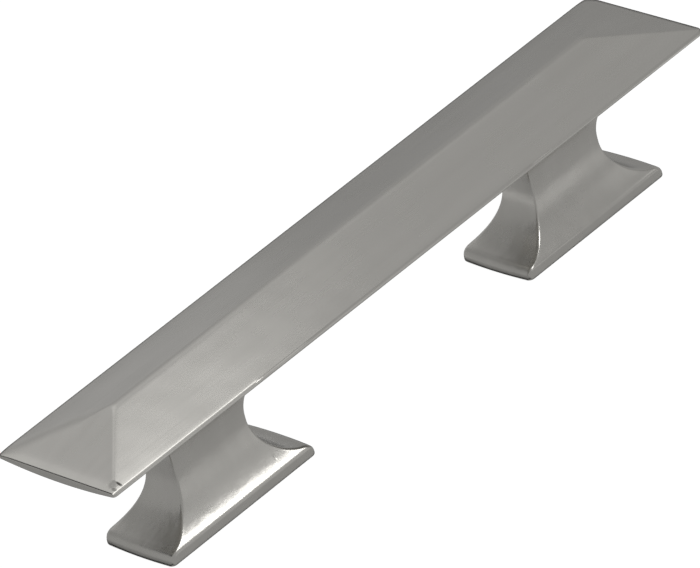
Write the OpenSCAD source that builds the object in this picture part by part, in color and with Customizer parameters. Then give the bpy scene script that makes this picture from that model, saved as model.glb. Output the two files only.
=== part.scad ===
// Cabinet pull with a hip-roofed bar on two flared pedestals, cast in one piece.
// The feet stand on z = 0, x runs along the bar and z points away from the
// cabinet face. The origin is midway between the two screw holes.

/* [Bar] */
// Distance between the centres of the two screw holes
hole_spacing = 76.2; // [64:0.1:320]
// Length of bar beyond the centre of each screw hole
end_overhang = 24.9; // [18:0.1:40]
// Width of the bar over its rounded long edges
bar_width = 23.4; // [18:0.1:32]
// Height of the ridge above the cabinet face
projection = 24; // [21:0.1:36]
// Height that the roof rises from the bar's edge to the ridge
roof_rise = 3.2; // [1.5:0.1:6]
// Distance that the sloped end of the roof runs along the bar
hip_run = 14; // [6:0.1:20]
// Radius that softens the ridge
ridge_radius = 1.6; // [0.5:0.1:4]
// Radius of the bar's rounded long edges
edge_radius = 0.4; // [0.2:0.05:0.8]
// Radius that rounds the top edge of the bar's two ends
end_round = 0.25; // [0.1:0.05:0.6]
// Drop of the curved underside below the edge, at mid width
belly_drop = 0.7; // [0.2:0.05:1.5]
// Radius of the bar's four corners seen from above
bar_corner = 0.9; // [0.3:0.1:4]

/* [Pedestals] */
// Length of each foot, along the bar
foot_length = 30.2; // [22:0.1:34]
// Width of each foot, across the bar
foot_width = 13.6; // [10:0.1:20]
// Height of the upright rim around each foot
rim_height = 1.8; // [1.6:0.1:4]
// Radius that rounds the top edge of the rim
rim_round = 1.2; // [0.2:0.1:1.4]
// Radius of each foot's corners seen from above
foot_corner = 0.9; // [0.3:0.1:3]
// Length of the pedestal at its waist, along the bar
waist_length = 14.6; // [9:0.1:20]
// Width of the pedestal at its waist, across the bar
waist_width = 6.4; // [5.4:0.1:9]
// Height of the waist above the cabinet face
waist_height = 10.3; // [8:0.1:12]
// Height of the upright band at the waist, between the two flares
waist_band = 0.6; // [0.4:0.1:3]
// Spread of the neck along the bar, on each side of the waist
neck_spread = 9.4; // [3:0.1:10]
// Distance from the neck to each long edge of the bar
neck_inset = 0.7; // [0.5:0.1:6]

/* [Screw holes] */
// Diameter of the tapped hole inside its thread
screw_hole = 3.4; // [2.5:0.1:4]
// Depth of the tapped hole
screw_depth = 12; // [6:0.5:14]
// Width of the countersunk mouth of the hole
mouth_width = 4.6; // [4.2:0.1:6]

/* [Hidden] */
$fn = 96;
nickel = [0.62, 0.61, 0.59];
// Overlap that keeps touching arcs and lines joined
bite = 0.0005;
// Share by which a corner's disc is larger, so that it crosses the sides
corner_grow = 1.04;
// Length by which cutting shapes run on past what they cut
spare = 1;
// Segments round the pedestals' flares and round the wide arc of the underside
flare_steps = 180;
belly_steps = 720;
half_length = hole_spacing / 2 + end_overhang;
half_width = bar_width / 2;
roof_foot = projection - roof_rise;
// Discs along the long edges: their distance from the middle and their height
edge_y = half_width - edge_radius;
edge_z = roof_foot - edge_radius;
// The underside leaves the edge's disc halfway round its lower quarter
crease_y = edge_y + edge_radius * cos(45);
crease_z = edge_z - edge_radius * sin(45);
underside_z = crease_z - belly_drop;
below_bar = underside_z - spare;

// Radius of an arc that starts upright and moves out sideways over a given rise
function arc_radius(out, rise) = (out * out + rise * rise) / (2 * out);

// Direction that points squarely out of the line touching discs a and b, each [x, y, r]
function outward(a, b) =
    let (along = [b.x - a.x, b.y - a.y])
    atan2(along.y, along.x) - acos((a.z - b.z) / norm(along));

// Point just inside disc d, in direction turn from its centre
function rim_point(d, turn) = [d.x, d.y] + max(d.z - bite, 0) * [cos(turn), sin(turn)];

// Outline stretched round discs [x, y, r], listed anticlockwise
module belt(discs) {
    count = len(discs);
    polygon([
        for (i = [0:count - 1])
            let (a = discs[i], b = discs[(i + 1) % count], turn = outward(a, b))
            each [rim_point(a, turn), rim_point(b, turn)]
    ]);
    for (d = discs)
        if (d.z > 0)
            translate([d.x, d.y])
                circle(d.z);
}

// Takes the four upright corners off what stands on a length by width outline
module without_corners(length, width, corner) {
    difference() {
        children();
        for (flip_x = [0, 1], flip_y = [0, 1])
            mirror([flip_x, 0, 0])
                mirror([0, flip_y, 0])
                    translate([length / 2 - corner, width / 2 - corner, -spare])
                        linear_extrude(projection + 2 * spare)
                            difference() {
                                square(2 * corner);
                                circle(corner * corner_grow);
                            }
    }
}

// Section across the bar: two roof slopes, rounded edges and a shallow curved underside
module bar_section() {
    belly_radius = arc_radius(belly_drop, crease_y);
    intersection() {
        union() {
            belt([
                [-edge_y, edge_z, edge_radius],
                [edge_y, edge_z, edge_radius],
                [0, projection - ridge_radius, ridge_radius]
            ]);
            translate([-edge_y, below_bar])
                square([2 * edge_y, edge_z - below_bar]);
        }
        translate([0, underside_z + belly_radius])
            circle(belly_radius, $fn = belly_steps);
    }
}

// Side of the bar: upright ends and the slopes that hip the roof, which run on past the ridge
module bar_side() {
    past = 1.4;
    crest_x = half_length - past * hip_run;
    crest_z = roof_foot + past * roof_rise;
    end_x = half_length - end_round;
    end_z = roof_foot - end_round;
    belt([
        [-half_length, below_bar, 0],
        [half_length, below_bar, 0],
        [end_x, end_z, end_round],
        [crest_x, crest_z, 0],
        [-crest_x, crest_z, 0],
        [-end_x, end_z, end_round]
    ]);
}

module bar() {
    without_corners(2 * half_length, bar_width, bar_corner)
        intersection() {
            rotate([90, 0, 90])
                linear_extrude(2 * (half_length + spare), center = true)
                    bar_section();
            rotate([90, 0, 0])
                linear_extrude(bar_width + 2 * spare, center = true)
                    bar_side();
        }
}

// Part of a disc at [x, y] that lies between two heights
module scoop(at, radius, from, to) {
    intersection() {
        translate(at)
            circle(radius, $fn = flare_steps);
        translate([0, from])
            square([at.x + radius, to - from]);
    }
}

// Side of a pedestal: rim, lower flare, waist and neck, from their half widths
module flared_side(foot, waist, neck) {
    lower_z = waist_height - waist_band / 2;
    upper_z = waist_height + waist_band / 2;
    lower_r = arc_radius(foot - waist, lower_z - rim_height);
    upper_r = arc_radius(neck - waist, edge_z - upper_z);
    // The rim's rounding is a disc that touches the rim and the lower flare
    round_x = foot - rim_round;
    reach = lower_r + rim_round - bite;
    aside = waist + lower_r - round_x;
    round_z = lower_z - sqrt(reach * reach - aside * aside);
    touch_x = round_x + rim_round * aside / reach;
    difference() {
        union() {
            translate([-foot, 0])
                square([2 * foot, round_z]);
            translate([-touch_x, 0])
                square([2 * touch_x, upper_z]);
            translate([-neck, lower_z])
                square([2 * neck, edge_z - lower_z]);
            for (side = [-1, 1])
                translate([side * round_x, round_z])
                    circle(rim_round);
        }
        for (flip = [0, 1])
            mirror([flip, 0]) {
                scoop([waist + lower_r, lower_z], lower_r, -spare, waist_height);
                scoop([waist + upper_r, upper_z], upper_r, waist_height, projection);
                translate([waist + bite, lower_z])
                    square([foot + neck, waist_band]);
            }
    }
}

// One pedestal: where its two flared sides, seen along and across the bar, cross
module pedestal() {
    without_corners(foot_length, foot_width, foot_corner)
        intersection() {
            rotate([90, 0, 0])
                linear_extrude(bar_width, center = true)
                    flared_side(foot_length / 2, waist_length / 2, waist_length / 2 + neck_spread);
            rotate([90, 0, 90])
                linear_extrude(2 * end_overhang, center = true)
                    flared_side(foot_width / 2, waist_width / 2, half_width - neck_inset);
        }
}

module screw_bore() {
    sink = (mouth_width - screw_hole) / 2;
    translate([0, 0, -spare])
        cylinder(h = screw_depth + spare, d = screw_hole);
    cylinder(h = sink, d1 = mouth_width, d2 = screw_hole);
}

module handle() {
    color(nickel)
        difference() {
            union() {
                bar();
                for (side = [-1, 1])
                    translate([side * hole_spacing / 2, 0, 0])
                        pedestal();
            }
            for (side = [-1, 1])
                translate([side * hole_spacing / 2, 0, 0])
                    screw_bore();
        }
}

handle();
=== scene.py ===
# Satin nickel cabinet pull: a hipped bar on two flared pedestals, one zinc casting.
# Lengths in the dictionaries are millimetres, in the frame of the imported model.
import math
import bmesh
import bpy
import numpy as np
from mathutils import Matrix, Vector


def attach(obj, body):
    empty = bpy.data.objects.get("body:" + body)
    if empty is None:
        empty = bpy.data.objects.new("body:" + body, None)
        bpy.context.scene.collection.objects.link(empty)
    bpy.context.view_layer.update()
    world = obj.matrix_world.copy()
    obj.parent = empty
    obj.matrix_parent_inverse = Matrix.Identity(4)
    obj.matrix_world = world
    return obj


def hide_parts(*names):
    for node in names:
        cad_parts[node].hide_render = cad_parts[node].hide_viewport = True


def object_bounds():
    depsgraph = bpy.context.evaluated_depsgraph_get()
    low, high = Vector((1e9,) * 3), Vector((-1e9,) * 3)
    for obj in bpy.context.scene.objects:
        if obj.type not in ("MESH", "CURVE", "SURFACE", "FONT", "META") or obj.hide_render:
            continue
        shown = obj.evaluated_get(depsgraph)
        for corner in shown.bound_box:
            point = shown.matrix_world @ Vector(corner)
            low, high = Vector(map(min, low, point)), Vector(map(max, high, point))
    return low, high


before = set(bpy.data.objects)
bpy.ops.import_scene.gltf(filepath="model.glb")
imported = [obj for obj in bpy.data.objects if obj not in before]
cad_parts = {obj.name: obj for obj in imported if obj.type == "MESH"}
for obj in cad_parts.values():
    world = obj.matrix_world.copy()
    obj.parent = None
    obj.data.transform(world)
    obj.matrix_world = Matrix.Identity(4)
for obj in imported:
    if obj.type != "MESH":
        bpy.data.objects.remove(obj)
cadLow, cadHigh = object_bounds()
mm = 0.001
print("frame loaded")

# The casting. Overall length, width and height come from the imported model. nearCorner and farCorner
# round the bar's corners at its near and far end, hipSoftness is how widely the near and the far
# slope blend into the hips, and the long edges' rounding ends creaseTurn degrees below level.
casting = dict(
    holeSpacing=76.2,
    roofRise=3.2, hipRun=12.6, ridgeRadius=3.4, hipSoftness=(0.13, 0.8), hipFade=4.0,
    edgeRadius=0.5, creaseTurn=18.0, endRound=0.4, bellyDrop=0.7, nearCorner=0.5, farCorner=1.2,
    footLength=29.9, footWidth=13.6, footBow=0.25, footCorner=0.75, baseRound=0.3,
    rimHeight=1.8, rimRound=1.0, endRimHeight=1.95, endRimRound=1.75,
    waistLength=14.6, waistWidth=6.4, waistHeight=10.3, waistBand=0.6,
    neckSpread=9.4, neckInset=0.7, neckTop=20.25, neckFillet=0.2,
    arrisRadius=0.16, arrisFoot=0.6, arrisCurve=1.5,
    screwHole=3.4, screwDepth=12.0, mouthWidth=4.6, threadPitch=0.794, threadDepth=0.36, threadEnd=1.0)

# How finely each stretch of the surface is divided. Rings are shares of the way from one outline
# to the next (slopeRings: first, last and how many), an inset is how far a grid's border lies
# inside the outline around it, and baseTurn is in radians.
mesh = dict(
    patchHalf=16.0, patchSteps=52, patchRings=5, middleSteps=44, endSteps=16,
    acrossSteps=36, acrossCrowding=0.35, cornerSteps=6, cornerGrowth=0.6,
    ridgeRings=(0, 0.012, 0.025, 0.04, 0.06, 0.085, 0.115, 0.15), slopeRings=(0.2, 1, 15),
    edgeRows=14, underInset=0.45, underRings=(0, 0.12, 0.4, 1),
    flareRows=30, rimRows=10, rimMiddle=0.6, baseRows=6, baseTurn=0.35, arrisSteps=4,
    baseInset=0.15, baseRings=(0.0, 0.15, 0.4, 0.7, 1.0), threadRows=6, mergeWithin=0.0005)


def arcRadius(out, rise):
    # radius of an arc that starts upright and moves out over a rise: (out^2 + rise^2) / (2 out)
    return (out * out + rise * rise) / (2 * out)


def touchingLine(a, b):
    # discs (u, z, r): the line n.p = c that touches both on the outside, as (nu, nz, c)
    du, dz = b[0] - a[0], b[1] - a[1]
    turn = math.atan2(dz, du) - math.acos((a[2] - b[2]) / math.hypot(du, dz))
    nu, nz = math.cos(turn), math.sin(turn)
    return nu, nz, nu * a[0] + nz * a[1] + a[2]


def softMin(a, b, k):
    # min(a, b) - k h^2 / 4, with h = max(k - |a - b|, 0) / k
    h = np.maximum(k - np.abs(a - b), 0) / k
    return np.minimum(a, b) - k * h * h / 4


def ringGrid(halfX, halfY, corner, shareX, shareY, steps):
    # rounded rectangles, one a row: along a side s (half - corner) + corner sin t,
    # and out from the middle half - corner + corner cos t, with t from -45 to 45 degrees
    halfX, halfY, corner = (np.asarray(v, float).reshape(-1, 1) for v in (halfX, halfY, corner))
    turn = np.linspace(0, math.pi / 4, steps + 1)[1:]

    def side(share, along, out):
        # places along and out, and the weight of the end: |t| / 90 degrees
        s = np.concatenate([-np.ones(steps), share, np.ones(steps)])
        t = np.concatenate([-turn[::-1], np.zeros(len(share)), turn])
        p = s * (along - corner) + corner * np.sin(t)
        q = out - corner + corner * np.cos(t)
        return p[:, :-1], q[:, :-1], np.abs(t[:-1]) / (math.pi / 2)

    px, qx, wx = side(shareX, halfX, halfY)
    py, qy, wy = side(shareY, halfY, halfX)
    x = np.concatenate([px, qy, -px, -qy], axis=1)
    y = np.concatenate([-qx, py, qx, -py], axis=1)
    endWeight = np.concatenate([wx, 1 - wy, wx, 1 - wy])
    return x, y, endWeight * endWeight * (3 - 2 * endWeight)


class Surface:
    # gathers grids of points as one mesh; grid cell (i, j) becomes the quad i,j i,j+1 i+1,j+1 i+1,j
    def __init__(self):
        self.points, self.quads, self.count = [], [], 0

    def add(self, x, y, z, closed, flip=False):
        # a closed grid joins its last column to its first; flip turns its faces over
        x, y, z = np.broadcast_arrays(x, y, z)
        rows, cols = x.shape
        index = self.count + np.arange(rows * cols).reshape(rows, cols)
        right = np.roll(index, -1, axis=1) if closed else index[:, 1:]
        left = index if closed else index[:, :-1]
        quad = np.stack([left[:-1], right[:-1], right[1:], left[1:]], axis=-1).reshape(-1, 4)
        self.points.append(np.stack([x, y, z], axis=-1).reshape(-1, 3))
        self.quads.append(quad[:, ::-1] if flip else quad)
        self.count += rows * cols

    def finish(self, name, mergeWithin):
        # one smooth mesh, with the points that meet merged and all faces turned outwards
        points, quads = np.concatenate(self.points) * mm, np.concatenate(self.quads)
        data = bpy.data.meshes.new(name)
        data.vertices.add(len(points))
        data.vertices.foreach_set("co", points.astype(np.float32).ravel())
        data.loops.add(quads.size)
        data.loops.foreach_set("vertex_index", quads.astype(np.int32).ravel())
        data.polygons.add(len(quads))
        data.polygons.foreach_set("loop_start", np.arange(0, quads.size, 4, dtype=np.int32))
        data.update(calc_edges=True)
        bm = bmesh.new()
        bm.from_mesh(data)
        bmesh.ops.remove_doubles(bm, verts=bm.verts, dist=mergeWithin * mm)
        bmesh.ops.recalc_face_normals(bm, faces=bm.faces)
        bm.to_mesh(data)
        bm.free()
        data.polygons.foreach_set("use_smooth", np.ones(len(data.polygons), dtype=bool))
        piece = bpy.data.objects.new(name, data)
        bpy.context.scene.collection.objects.link(piece)
        return piece


def easedSteps(start, end, count, crowding):
    # count + 1 values, crowded at both ends: t - crowding sin(2 pi t) / (2 pi), from start to end
    t = np.linspace(0, 1, count + 1)
    return start + (end - start) * (t - crowding * np.sin(2 * math.pi * t) / (2 * math.pi))


def buildCasting(c, m):
    # one closed surface: roof, edge, underside with a patch for each pedestal, and the pedestals,
    # whose rings run from the patch down the flares and the rim, under the base and up the hole
    halfLength, halfWidth, height = cadHigh.x / mm, cadHigh.y / mm, cadHigh.z / mm
    roofFoot = height - c["roofRise"]
    edgeY, edgeZ, edgeR = halfWidth - c["edgeRadius"], roofFoot - c["edgeRadius"], c["edgeRadius"]
    endX, endZ, endR = halfLength - c["endRound"], roofFoot - c["endRound"], c["endRound"]
    ridgeR = c["ridgeRadius"]
    slopeY, slopeZ, slopeC = touchingLine((edgeY, edgeZ, edgeR), (0, height - ridgeR, ridgeR))
    hipX, hipZ, hipC = touchingLine((endX, endZ, endR), (halfLength - c["hipRun"], height, 0))
    crease = math.radians(c["creaseTurn"])
    creaseY = edgeY + edgeR * math.cos(crease)
    creaseZ = edgeZ - edgeR * math.sin(crease)
    bellyR = arcRadius(c["bellyDrop"], creaseY)

    def roofZ(x, y):
        # two slopes rounded at the ridge and met by the two hips, crisply on the near side and
        # softly on the far side: near + (far - near) t^2 (3 - 2 t), with t = y / fade
        u, t = np.abs(y), np.clip(y / c["hipFade"], 0, 1)
        near, far = c["hipSoftness"]
        arc = height - ridgeR + np.sqrt(np.maximum(ridgeR ** 2 - u * u, 0))
        slope = np.where(u < ridgeR * slopeY, arc, (slopeC - slopeY * u) / slopeZ)
        return softMin(slope, (hipC - hipX * np.abs(x)) / hipZ, near + (far - near) * t * t * (3 - 2 * t))

    def bellyZ(y):
        # wide arc through both creases, lowest at mid width
        return creaseZ - c["bellyDrop"] + bellyR - np.sqrt(bellyR ** 2 - y * y)

    # columns along the bar, shared by its sides and its underside
    inset = m["underInset"]
    innerX, innerY = halfLength - inset, creaseY - inset
    middle = c["holeSpacing"] / 2
    stops = [-innerX, -middle - m["patchHalf"], -middle + m["patchHalf"]]
    stops += [-v for v in stops[::-1]]
    counts = [m["endSteps"], m["patchSteps"], m["middleSteps"], m["patchSteps"], m["endSteps"]]
    columns = np.concatenate([np.linspace(a, b, n + 1)[:-1] for a, b, n in zip(stops, stops[1:], counts)])
    columns = np.append(columns, innerX)
    across = easedSteps(-innerY, innerY, m["acrossSteps"], m["acrossCrowding"])
    shareX, shareY, steps = columns / innerX, across / innerY, m["cornerSteps"]
    surface = Surface()

    def barRing(halfX, halfY, rounding):
        # rings whose two corners at the near end are crisper than those at the far end
        near = ringGrid(halfX, halfY, c["nearCorner"] * rounding, shareX, shareY, steps)
        far = ringGrid(halfX, halfY, c["farCorner"] * rounding, shareX, shareY, steps)
        return np.where(near[0] > 0, far[0], near[0]), np.where(near[0] > 0, far[1], near[1]), near[2]

    # roof: rings from the ridge line down the slopes
    touchY, touchX = edgeY + edgeR * slopeY, endX + endR * hipX
    ridgeX = (hipC - hipZ * height) / hipX
    t = np.concatenate([m["ridgeRings"], np.linspace(*m["slopeRings"])])
    growing = np.minimum(1, m["cornerGrowth"] * touchY * t)
    x, y, _ = barRing(ridgeX + (touchX - ridgeX) * t, touchY * t, growing)
    surface.add(x, y, roofZ(x, y), closed=True)

    # edge: round along the sides, upright with a small round at the ends
    rows = m["edgeRows"]
    sideTurn = np.linspace(math.asin(slopeZ), -crease, rows + 1)
    roundRows = rows // 2
    endTurn = np.concatenate([np.linspace(math.asin(hipZ), 0, roundRows + 1), np.zeros(rows - roundRows)])
    xr, yr, endWeight = barRing(
        endX + endR * np.cos(endTurn), edgeY + edgeR * np.cos(sideTurn), np.ones(rows + 1))
    top, bottom = roofZ(xr[0], yr[0]), bellyZ(yr[-1])
    sideShare = (slopeZ - np.sin(sideTurn)) / (slopeZ + math.sin(crease))
    roundShare = np.minimum((hipZ - np.sin(endTurn))[:, None] * endR / (top - bottom), 1)
    down = np.maximum(np.arange(rows + 1) - roundRows, 0) / (rows - roundRows)
    endShare = roundShare + (1 - roundShare) * down[:, None]
    share = (1 - endWeight) * sideShare[:, None] + endWeight * endShare
    surface.add(xr, yr, top + (bottom - top) * share, closed=True)

    # underside: a border ring that squares off the corners, then grids between the pedestals
    t = np.array(m["underRings"])
    xb, yb, _ = barRing(halfLength + (innerX - halfLength) * t, creaseY + (innerY - creaseY) * t, 1 - t)
    surface.add(xb, yb, bellyZ(yb), closed=True)
    breaks = np.cumsum([0] + counts)
    for k in (0, 2, 4):
        xs = columns[breaks[k]:breaks[k + 1] + 1]
        gx, gy = np.meshgrid(xs, across)
        surface.add(gx, gy, bellyZ(gy), closed=False, flip=True)

    # pedestals
    lowerZ, upperZ = c["waistHeight"] - c["waistBand"] / 2, c["waistHeight"] + c["waistBand"] / 2
    neckX, neckY = c["waistLength"] / 2 + c["neckSpread"], halfWidth - c["neckInset"]

    def flare(foot, waist, neck, rimHeight, r):
        # half width at height z: concave arcs above and below the waist, a round at the rim
        low, high = arcRadius(foot - waist, lowerZ - rimHeight), arcRadius(neck - waist, edgeZ - upperZ)
        roundX = foot - r
        aside = waist + low - roundX
        roundZ = lowerZ - math.sqrt((low + r) ** 2 - aside ** 2)
        touchZ = roundZ + r * (lowerZ - roundZ) / (low + r)

        def half(z):
            # r - sqrt(r^2 - rise^2) out from the waist by each arc, and the rim's disc below them
            below, above = np.clip(lowerZ - z, 0, low), np.clip(z - upperZ, 0, high)
            arcs = waist + low - np.sqrt(low ** 2 - below ** 2) + high - np.sqrt(high ** 2 - above ** 2)
            rim = roundX + np.sqrt(np.maximum(r * r - np.maximum(z - roundZ, 0) ** 2, 0))
            return np.where(z > touchZ, arcs, rim)
        rim = np.arcsin(np.linspace(min((touchZ - roundZ) / r, 1), 0, m["rimRows"]))
        return half, roundZ + r * np.sin(rim), touchZ, low, high

    halfX, rimX, touchZX, lowX, highX = flare(
        c["footLength"] / 2, c["waistLength"] / 2, neckX, c["endRimHeight"], c["endRimRound"])
    halfY, rimY, touchZY, _, _ = flare(
        c["footWidth"] / 2, c["waistWidth"] / 2, neckY, c["rimHeight"], c["rimRound"])
    n = m["flareRows"]
    rise = np.linspace(math.asin((c["neckTop"] - upperZ) / highX), 0, n + 1)
    fall = np.linspace(0, math.asin((lowerZ - touchZX) / lowX), n + 1)
    under = c["baseRound"] * (1 - np.cos(np.linspace(math.pi / 2, m["baseTurn"], m["baseRows"])))
    heights = np.concatenate([upperZ + highX * np.sin(rise), lowerZ - lowX * np.sin(fall), rimX, rimY,
                              [m["rimMiddle"]], under])
    heights = np.unique(np.round(heights, 5))[::-1]
    # the foot's bottom edge is round: radius - sqrt(radius^2 - depth^2) further in
    tucked = np.maximum(c["baseRound"] - heights, 0)
    tucked = c["baseRound"] - np.sqrt(c["baseRound"] ** 2 - tucked ** 2)
    hx, hy = halfX(heights) - tucked, halfY(heights) - tucked
    # arrises are crisp at the waist, softer down the flare and roundest at the foot's corners
    flared = np.clip((lowerZ - heights) / (lowerZ - touchZY), 0, 1) ** c["arrisCurve"]
    toFoot = np.clip((touchZY - heights) / touchZY, 0, 1) ** 2
    corner = c["arrisRadius"] + (c["arrisFoot"] - c["arrisRadius"]) * flared
    corner = corner + (c["footCorner"] - c["arrisFoot"]) * toFoot
    turns = m["arrisSteps"]
    sx = np.linspace(-1, 1, m["patchSteps"] - 2 * turns + 1)
    sy = np.linspace(-1, 1, m["acrossSteps"] - 2 * turns + 1)
    px, py, _ = ringGrid(hx, hy, corner, sx, sy, turns)
    # the feet's short ends bow outwards: bow (1 - y^2 / half^2), fading out up the flare
    bow = c["footBow"] * np.clip((lowerZ - heights) / (lowerZ - c["rimHeight"]), 0, 1)[:, None] ** 2
    px = px * (1 + bow / hx[:, None] * (1 - (py / hy[:, None]) ** 2))
    pz = softMin(np.broadcast_to(heights[:, None], px.shape), bellyZ(py), c["neckFillet"])
    # base, countersunk mouth and threaded hole, whose groove is half of 1 - cos(height - turn)
    ring = len(px[0])
    even = np.arctan2(py[-1, 0], px[-1, 0]) + np.arange(ring) * 2 * math.pi / ring
    holeR, mouthR = c["screwHole"] / 2, c["mouthWidth"] / 2
    t = np.array(m["baseRings"])[:, None]
    bx = (px[-1] * (hx[-1] - m["baseInset"]) / hx[-1]) * (1 - t) + mouthR * np.cos(even) * t
    by = (py[-1] * (hy[-1] - m["baseInset"]) / hy[-1]) * (1 - t) + mouthR * np.sin(even) * t
    sink = mouthR - holeR
    z = np.arange(sink, c["screwDepth"], c["threadPitch"] / m["threadRows"])[:, None]
    fade = np.clip((z - sink) / c["threadPitch"], 0, 1)
    fade = fade * np.clip((c["screwDepth"] - c["threadEnd"] - z) / c["threadPitch"], 0, 1)
    groove = 0.5 - 0.5 * np.cos(2 * math.pi * (z / c["threadPitch"]) - even)
    r = holeR + c["threadDepth"] * groove * fade
    floorR = np.array([holeR, 0.5 * holeR, 0.0])[:, None]
    dx = np.concatenate([bx, r * np.cos(even), floorR * np.cos(even)])
    dy = np.concatenate([by, r * np.sin(even), floorR * np.sin(even)])
    dz = np.broadcast_to(np.concatenate([0 * t, z, np.full((3, 1), c["screwDepth"])]), dx.shape)
    for k, centre in ((1, -middle), (3, middle)):
        xs = columns[breaks[k]:breaks[k + 1] + 1] - centre
        border = np.concatenate([
            np.stack([xs[:-1], np.full(len(xs) - 1, -innerY)], 1),
            np.stack([np.full(len(across) - 1, m["patchHalf"]), across[:-1]], 1),
            np.stack([xs[:0:-1], np.full(len(xs) - 1, innerY)], 1),
            np.stack([np.full(len(across) - 1, -m["patchHalf"]), across[:0:-1]], 1)])
        t = np.linspace(0, 1, m["patchRings"] + 1)[:-1, None]
        ox = border[:, 0] * (1 - t) + px[0] * t
        oy = border[:, 1] * (1 - t) + py[0] * t
        surface.add(np.concatenate([ox, px, dx]) + centre, np.concatenate([oy, py, dy]),
                    np.concatenate([bellyZ(oy), pz, dz]), closed=True)
    return surface.finish("handleCasting", m["mergeWithin"])


handleCasting = buildCasting(casting, mesh)
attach(handleCasting, "root")
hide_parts("handle")
print("casting built:", len(handleCasting.data.polygons), "faces")


def linearFromHex(code):
    # sRGB hex to linear: c / 12.92 up to 0.04045, ((c + 0.055) / 1.055)^2.4 above
    c = np.array([int(code[i:i + 2], 16) for i in (1, 3, 5)]) / 255
    return (*np.where(c <= 0.04045, c / 12.92, ((c + 0.055) / 1.055) ** 2.4).tolist(), 1.0)


def addNode(tree, kind, inputs=None, **settings):
    # one node with its settings; an input that is another node's output is linked, a value is set
    node = tree.nodes.new(kind)
    for key, value in settings.items():
        setattr(node, key, value)
    for key, value in (inputs or {}).items():
        if isinstance(value, bpy.types.NodeSocket):
            tree.links.new(value, node.inputs[key])
        else:
            node.inputs[key].default_value = value
    return node


# Satin nickel plate over a zinc die casting, belt-ground and buffed: a soft, nearly neutral
# grey sheen, fine grain along the bar and up the pedestals, and slow waves left by the buffing.
# Grit lines are about 0.05 mm apart, too fine to show, so they are drawn 0.4 mm apart.
nickel = dict(
    color="#cbc9c4", shade="#bebcb7", streakShare=0.6,
    roughness=0.27, roughnessSpread=0.06, grainShare=0.25, noiseSpan=(0.3, 0.7), noiseDecay=0.55,
    patchSize=14.0, peelSize=1.3, peelDepth=0.0003,
    grainLength=16.0, grainWidth=0.4, grainDepth=0.0001, grainTurn=(18.9, 19.9),
    streakLength=30.0, postStreakLength=9.0, streakWidth=2.4, streakDepth=0.003,
    waveSize=7.0, waveDepth=0.05, postWaveSize=2.4, postWaveStretch=1.8, postWaveDepth=0.06,
    pitColor="#55534f", pitRoughness=0.55, pitFull=0.35, pitDepth=0.05)

# Wear that the photograph shows: (place), (half lengths), darkness and share of the pits' depth
marks = dict(
    cornerNick=((-60.95, -10.75, 21.0), (0.26, 0.75, 0.7), 0.9, 1.0),
    cornerPit=((-62.15, -10.9, 20.9), (0.36, 0.55, 0.7), 0.55, 1.0),
    cornerRub=((-61.6, -10.1, 21.1), (0.9, 0.9, 0.9), 0.3, 1.0),
    flareDent=((-29.5, -5.4, 3.3), (0.3, 0.6, 0.6), 0.0, 0.4))


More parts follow.
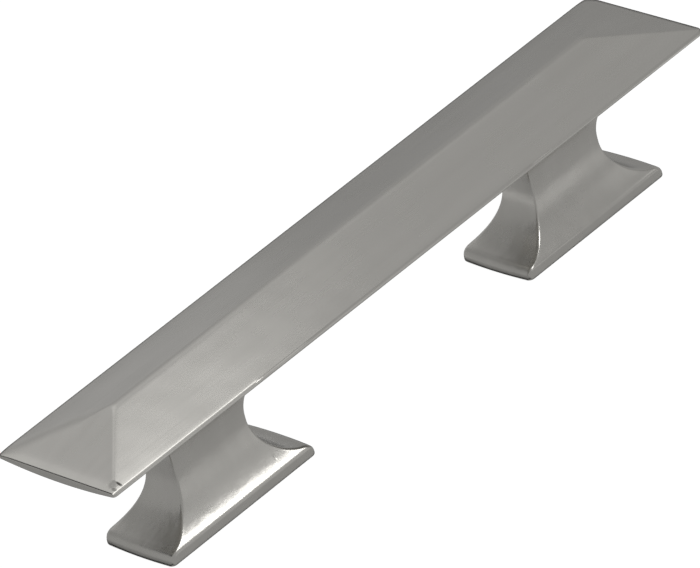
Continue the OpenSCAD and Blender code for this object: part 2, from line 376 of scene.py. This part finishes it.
def satinNickel(v, marks):
    # colour between two greys by patches and streaks, roughness by patches and grain, and the
    # normal from a stack of bumps, the widest first; the marks darken, roughen and sink it
    material = bpy.data.materials.new("satinNickelPlateOnDieCastZinc")
    material.use_nodes = True
    tree = material.node_tree
    tree.nodes.clear()
    place = addNode(tree, "ShaderNodeTexCoord").outputs["Object"]

    # smooth noises: size in millimetres, detail, and how many times longer along x, y and z
    grainRun, streakRun = v["grainLength"] / v["grainWidth"], v["streakLength"] / v["streakWidth"]
    postStreakRun = v["postStreakLength"] / v["streakWidth"]
    patterns = dict(
        barGrain=(v["grainWidth"], 2.0, (grainRun, 1, 1)),
        postGrain=(v["grainWidth"], 2.0, (1, 1, grainRun)),
        barStreaks=(v["streakWidth"], 1.0, (streakRun, 1, 1)),
        postStreaks=(v["streakWidth"], 1.0, (1, 1, postStreakRun)),
        patches=(v["patchSize"], 2.0, (1, 1, 1)),
        waves=(v["waveSize"], 1.0, (1, 1, 1)),
        postWaves=(v["postWaveSize"], 2.0, (v["postWaveStretch"], 1, 1)),
        peel=(v["peelSize"], 2.0, (1, 1, 1)))
    noise = {}
    for name, (size, detail, stretch) in patterns.items():
        scaled = addNode(tree, "ShaderNodeMapping", {
            "Vector": place, "Scale": tuple(1 / (size * mm * k) for k in stretch)}).outputs["Vector"]
        noise[name] = addNode(tree, "ShaderNodeTexNoise", {
            "Vector": scaled, "Scale": 1.0, "Detail": detail,
            "Roughness": v["noiseDecay"]}).outputs["Fac"]

    # grain and streaks run along the bar, and up and down on the pedestals, which have waves of
    # their own
    z = addNode(tree, "ShaderNodeSeparateXYZ", {"Vector": place}).outputs["Z"]
    onBar = addNode(tree, "ShaderNodeMapRange", {
        "Value": z, "From Min": v["grainTurn"][0] * mm, "From Max": v["grainTurn"][1] * mm}).outputs["Result"]
    grain, streaks, postWaves = (
        addNode(tree, "ShaderNodeMix", {"Factor": onBar, "A": onPost, "B": other},
                data_type="FLOAT").outputs["Result"]
        for onPost, other in ((noise["postGrain"], noise["barGrain"]),
                              (noise["postStreaks"], noise["barStreaks"]),
                              (noise["postWaves"], 0.5)))

    # marks: distance from each one's middle, in half lengths, turned into a soft spot
    worn, sunk = 0.0, 0.0
    for middle, half, dark, deep in marks.values():
        offset = addNode(tree, "ShaderNodeVectorMath", {
            0: place, 1: tuple(-k * mm for k in middle)}, operation="ADD").outputs["Vector"]
        sized = addNode(tree, "ShaderNodeVectorMath", {
            0: offset, 1: tuple(1 / (k * mm) for k in half)}, operation="MULTIPLY").outputs["Vector"]
        away = addNode(tree, "ShaderNodeVectorMath", {0: sized}, operation="LENGTH").outputs["Value"]
        spot = addNode(tree, "ShaderNodeMapRange", {
            "Value": away, "From Min": 1.0, "From Max": v["pitFull"], "To Min": 0.0, "To Max": 1.0},
            interpolation_type="SMOOTHSTEP").outputs["Result"]
        strongest = []
        for soFar, share in ((worn, dark), (sunk, deep)):
            part = addNode(tree, "ShaderNodeMath", {0: spot, 1: share}, operation="MULTIPLY")
            strongest.append(addNode(tree, "ShaderNodeMath", {
                0: soFar, 1: part.outputs["Value"]}, operation="MAXIMUM").outputs["Value"])
        worn, sunk = strongest
    raisedBack = addNode(tree, "ShaderNodeMath", {0: sunk, 1: -1.0}, operation="MULTIPLY").outputs["Value"]

    shading = addNode(tree, "ShaderNodeMix", {
        "Factor": v["streakShare"], "A": noise["patches"], "B": streaks}, data_type="FLOAT").outputs["Result"]
    buffed = addNode(tree, "ShaderNodeMix", {
        "Factor": shading, 6: linearFromHex(v["color"]), 7: linearFromHex(v["shade"])},
        data_type="RGBA").outputs[2]
    color = addNode(tree, "ShaderNodeMix", {
        "Factor": worn, 6: buffed, 7: linearFromHex(v["pitColor"])}, data_type="RGBA").outputs[2]
    uneven = addNode(tree, "ShaderNodeMix", {
        "Factor": v["grainShare"], "A": noise["patches"], "B": grain}, data_type="FLOAT").outputs["Result"]
    satin = addNode(tree, "ShaderNodeMapRange", {
        "Value": uneven, "From Min": v["noiseSpan"][0], "From Max": v["noiseSpan"][1],
        "To Min": v["roughness"] - v["roughnessSpread"],
        "To Max": v["roughness"] + v["roughnessSpread"]}).outputs["Result"]
    roughness = addNode(tree, "ShaderNodeMix", {
        "Factor": worn, "A": satin, "B": v["pitRoughness"]}, data_type="FLOAT").outputs["Result"]
    sockets = {"Strength": 1.0}
    for height, depth in ((noise["waves"], v["waveDepth"]), (postWaves, v["postWaveDepth"]),
                          (streaks, v["streakDepth"]), (noise["peel"], v["peelDepth"]),
                          (grain, v["grainDepth"]), (raisedBack, v["pitDepth"])):
        sockets.update({"Height": height, "Distance": depth * mm})
        sockets["Normal"] = addNode(tree, "ShaderNodeBump", sockets).outputs["Normal"]
    shader = addNode(tree, "ShaderNodeBsdfPrincipled", {
        "Metallic": 1.0, "Base Color": color, "Roughness": roughness, "Normal": sockets["Normal"]})
    addNode(tree, "ShaderNodeOutputMaterial", {"Surface": shader.outputs["BSDF"]})
    return material


handleCasting.data.materials.append(satinNickel(nickel, marks))
print("materials done")

# Studio: white paper that glows a little, so that only soft shadows show on it
studio = dict(paper="#ffffff", paperShare=0.2, glow=0.95, floorSize=6000.0, floorDrop=0.02)


def buildFloor(v):
    # a square of side floorSize just below the feet, which the metal doesn't mirror
    data = bpy.data.meshes.new("studioFloor")
    h, z = v["floorSize"] / 2 * mm, -v["floorDrop"] * mm
    data.from_pydata([(-h, -h, z), (h, -h, z), (h, h, z), (-h, h, z)], [], [(0, 1, 2, 3)])
    floor = bpy.data.objects.new("studioFloor", data)
    bpy.context.scene.collection.objects.link(floor)
    material = bpy.data.materials.new("whiteStudioPaper")
    material.use_nodes = True
    tree = material.node_tree
    tree.nodes.clear()
    paper = [k * v["paperShare"] for k in linearFromHex(v["paper"])[:3]] + [1.0]
    shader = addNode(tree, "ShaderNodeBsdfPrincipled", {
        "Base Color": paper, "Roughness": 1.0, "Specular IOR Level": 0.0,
        "Emission Color": linearFromHex(v["paper"]), "Emission Strength": v["glow"]})
    addNode(tree, "ShaderNodeOutputMaterial", {"Surface": shader.outputs["BSDF"]})
    data.materials.append(material)
    floor.visible_glossy = False


buildFloor(studio)

# Soft lamps close to the handle, so that its near end is lit more than its far end. The first
# of the two sizes runs along x.
lamps = dict(
    nearFlare=dict(place=(35, -88, 112), aim=(-38, -6, 4), size=(58, 40), brightness=5.0),
    nearSide=dict(place=(48, -131, 36), aim=(-38, -6, 4), size=(60, 90), brightness=0.17),
    nearSlope=dict(place=(40, 26, 190), aim=(-50, -4, 22), size=(54, 50), brightness=0.9),
    ridgeFill=dict(place=(44, 99, 128), aim=(-45, 0, 24), size=(60, 60), brightness=0.09),
    farSlope=dict(place=(53, 215, 50), aim=(-50, 5, 22), size=(110, 80), brightness=0.12))


def softbox(name, place, aim, size, brightness):
    # a lamp of a given brightness needs pi x its area x that brightness in watts
    lamp = bpy.data.lights.new(name, "AREA")
    lamp.shape = "RECTANGLE"
    lamp.size, lamp.size_y = size[0] * mm, size[1] * mm
    lamp.energy = brightness * math.pi * lamp.size * lamp.size_y
    box = bpy.data.objects.new(name, lamp)
    bpy.context.scene.collection.objects.link(box)
    back = (Vector(place) - Vector(aim)).normalized()
    up = back.cross(Vector((1, 0, 0))).normalized()
    turn = Matrix((up.cross(back), up, back)).transposed().to_4x4()
    turn.translation = Vector(place) * mm
    box.matrix_world = turn
    box.visible_camera = False


for name, lamp in lamps.items():
    softbox(name, **lamp)

# Cards that only the metal sees; their glow is painted highlight and painted shade in its reflections.
# Those by the feet are painted shade: darker sheets that shade the edges next to the paper, and are given
# from the middle of each base. Those beside the bar are painted highlights and painted shade that draw
# the lines along its edges, and the ones whose names start with edge also keep the flares' lamp off the
# bar's long edge. Each card is (low x, high x), (low y, high y), height, brightness.
footCards = dict(
    endShade=((-20.1, -15.8), (-7.5, 10.0), 0.01, 0.29),
    endLine=((-15.8, -15.2), (-7.5, 10.0), 0.01, 0.04),
    sideShade=((-15.2, 18.0), (-13.0, -7.1), 0.01, 0.43),
    sideLine=((-15.2, 16.0), (-7.1, -6.85), 0.01, 0.08),
    footFlag=((-24.0, -6.0), (12.2, 24.0), 19.0, 0.38))
# painted highlights and painted dark lines along the bar's edges, seen only in the metal's reflections
barCards = dict(
    edgeNear=((-66.0, -33.0), (-11.75, -11.15), 21.7, 2.0),
    edgeNearFace=((-66.0, -33.0), (-16.0, -11.75), 21.7, 0.62),
    faceNearLow=((-66.0, -33.0), (-14.4, -12.5), 19.5, 0.62),
    endLight=((-65.0, -61.0), (-11.0, 16.0), 24.0, 0.75),
    endDark=((-74.0, -65.0), (-11.0, 20.0), 24.0, 0.06),
    edgeMiddle=((-30.6, -21.0), (-17.5, -12.6), 24.0, 0.75),
    edgeFar=((-21.0, 26.0), (-17.5, -12.6), 24.0, 0.48),
    farEndLine=((63.05, 70.0), (-12.0, 22.0), 21.0, 0.05),
    farSideLine=((-64.0, 75.0), (11.75, 17.0), 20.95, 0.12),
    farEndGlow=((-8.0, 14.0), (18.0, 36.0), 0.01, 0.75),
    farSideGlow=((60.0, 72.0), (-34.0, -18.0), 13.0, 0.8))


def mirrorCard(name, xs, ys, z, brightness, middle=0.0):
    # a level, evenly glowing rectangle between two x and two y, moved along x by the middle
    data = bpy.data.meshes.new(name)
    (x0, x1), (y0, y1) = xs, ys
    corners = np.array([(x0, y0, z), (x1, y0, z), (x1, y1, z), (x0, y1, z)]) + (middle, 0, 0)
    data.from_pydata((corners * mm).tolist(), [], [(0, 1, 2, 3)])
    material = bpy.data.materials.new(name)
    material.use_nodes = True
    tree = material.node_tree
    tree.nodes.clear()
    glow = addNode(tree, "ShaderNodeEmission", {"Color": (1, 1, 1, 1), "Strength": brightness})
    addNode(tree, "ShaderNodeOutputMaterial", {"Surface": glow.outputs["Emission"]})
    data.materials.append(material)
    card = bpy.data.objects.new(name, data)
    bpy.context.scene.collection.objects.link(card)
    card.visible_camera = False
    card.visible_diffuse = False
    return card


for side in (-1, 1):
    for name, card in footCards.items():
        mirrorCard(name, *card, middle=side * casting["holeSpacing"] / 2).visible_shadow = False
for name, card in barCards.items():
    mirrorCard(name, *card).visible_shadow = name.startswith("edge")

# The room that the metal mirrors: an even grey with a few soft lighter and darker zones.
# Each zone is (direction), (degrees of its full part and its rim), change in brightness.
room = dict(
    level=0.435, backdrop=0.93,
    zones=[((0.22, 0.67, 0.71), (8, 21), 0.2),
           ((0.38, 0.48, 0.79), (4, 12), 0.32),
           ((-0.25, 0.664, 0.7), (10, 26), -0.07),
           ((0.54, 0.27, 0.8), (6, 16), 0.06),
           ((0.45, 0.82, 0.35), (3, 13), 0.065),
           ((-0.5, 0.664, -0.55), (8, 22), -0.06),
           ((0.623, 0.7515, 0.167), (12, 32), -0.055),
           ((0.536, -0.815, -0.22), (4, 15), 0.24),
           ((0.45, 0.1, -0.887), (8, 24), 0.14),
           ((0.535, -0.748, 0.395), (2, 9), 0.05),
           ((0.45, 0.66, -0.6), (16, 40), -0.38)])


def buildRoom(v):
    # level plus the sum of the zones; each rises smoothly from its rim to its full part by the
    # cosine of the angle to its direction; the camera sees the plain backdrop
    world = bpy.data.worlds.new("studioRoom")
    bpy.context.scene.world = world
    world.use_nodes = True
    tree = world.node_tree
    tree.nodes.clear()
    towards = addNode(tree, "ShaderNodeTexCoord").outputs["Generated"]
    level = v["level"]
    for direction, (full, rim), change in v["zones"]:
        lean = addNode(tree, "ShaderNodeVectorMath", {0: towards, 1: direction}, operation="DOT_PRODUCT")
        zone = addNode(tree, "ShaderNodeMapRange", {
            "Value": lean.outputs["Value"], "From Min": math.cos(math.radians(rim)),
            "From Max": math.cos(math.radians(full)), "To Min": 0.0, "To Max": change},
            interpolation_type="SMOOTHSTEP")
        level = addNode(tree, "ShaderNodeMath", {
            0: zone.outputs["Result"], 1: level}, operation="ADD").outputs["Value"]
    lit = addNode(tree, "ShaderNodeBackground", {"Color": (1, 1, 1, 1), "Strength": level})
    plain = addNode(tree, "ShaderNodeBackground", {"Color": (1, 1, 1, 1), "Strength": v["backdrop"]})
    seen = addNode(tree, "ShaderNodeLightPath").outputs["Is Camera Ray"]
    both = addNode(tree, "ShaderNodeMixShader", {
        0: seen, 1: lit.outputs["Background"], 2: plain.outputs["Background"]})
    addNode(tree, "ShaderNodeOutputWorld", {"Surface": both.outputs["Shader"]})


buildRoom(room)

# Camera, from the vanishing lines of the photograph's bar and feet
photoCamera = dict(azimuth=38.8993, elevation=31.4588, roll=15.3605,
                   place=(-624.117, -768.803, 619.327), lens=420.08, filmWidth=36.0, clip=(50, 20000))


def buildCamera(v):
    # looks along -back, with the image turned by the roll about that line
    a, e, r = (math.radians(v[k]) for k in ("azimuth", "elevation", "roll"))
    back = Vector((-math.sin(a) * math.cos(e), -math.cos(a) * math.cos(e), math.sin(e)))
    right = (-back).cross(Vector((0, 0, 1))).normalized()
    down = (-back).cross(right)
    right, down = right * math.cos(r) + down * math.sin(r), down * math.cos(r) - right * math.sin(r)
    data = bpy.data.cameras.new("photoCamera")
    data.lens, data.sensor_width = v["lens"], v["filmWidth"]
    data.clip_start, data.clip_end = (k * mm for k in v["clip"])
    camera = bpy.data.objects.new("photoCamera", data)
    bpy.context.scene.collection.objects.link(camera)
    turn = Matrix((right, -down, back)).transposed().to_4x4()
    turn.translation = Vector(v["place"]) * mm
    camera.matrix_world = turn
    bpy.context.scene.camera = camera


buildCamera(photoCamera)
bpy.context.scene.view_settings.view_transform = "Standard"
print("studio and camera done")
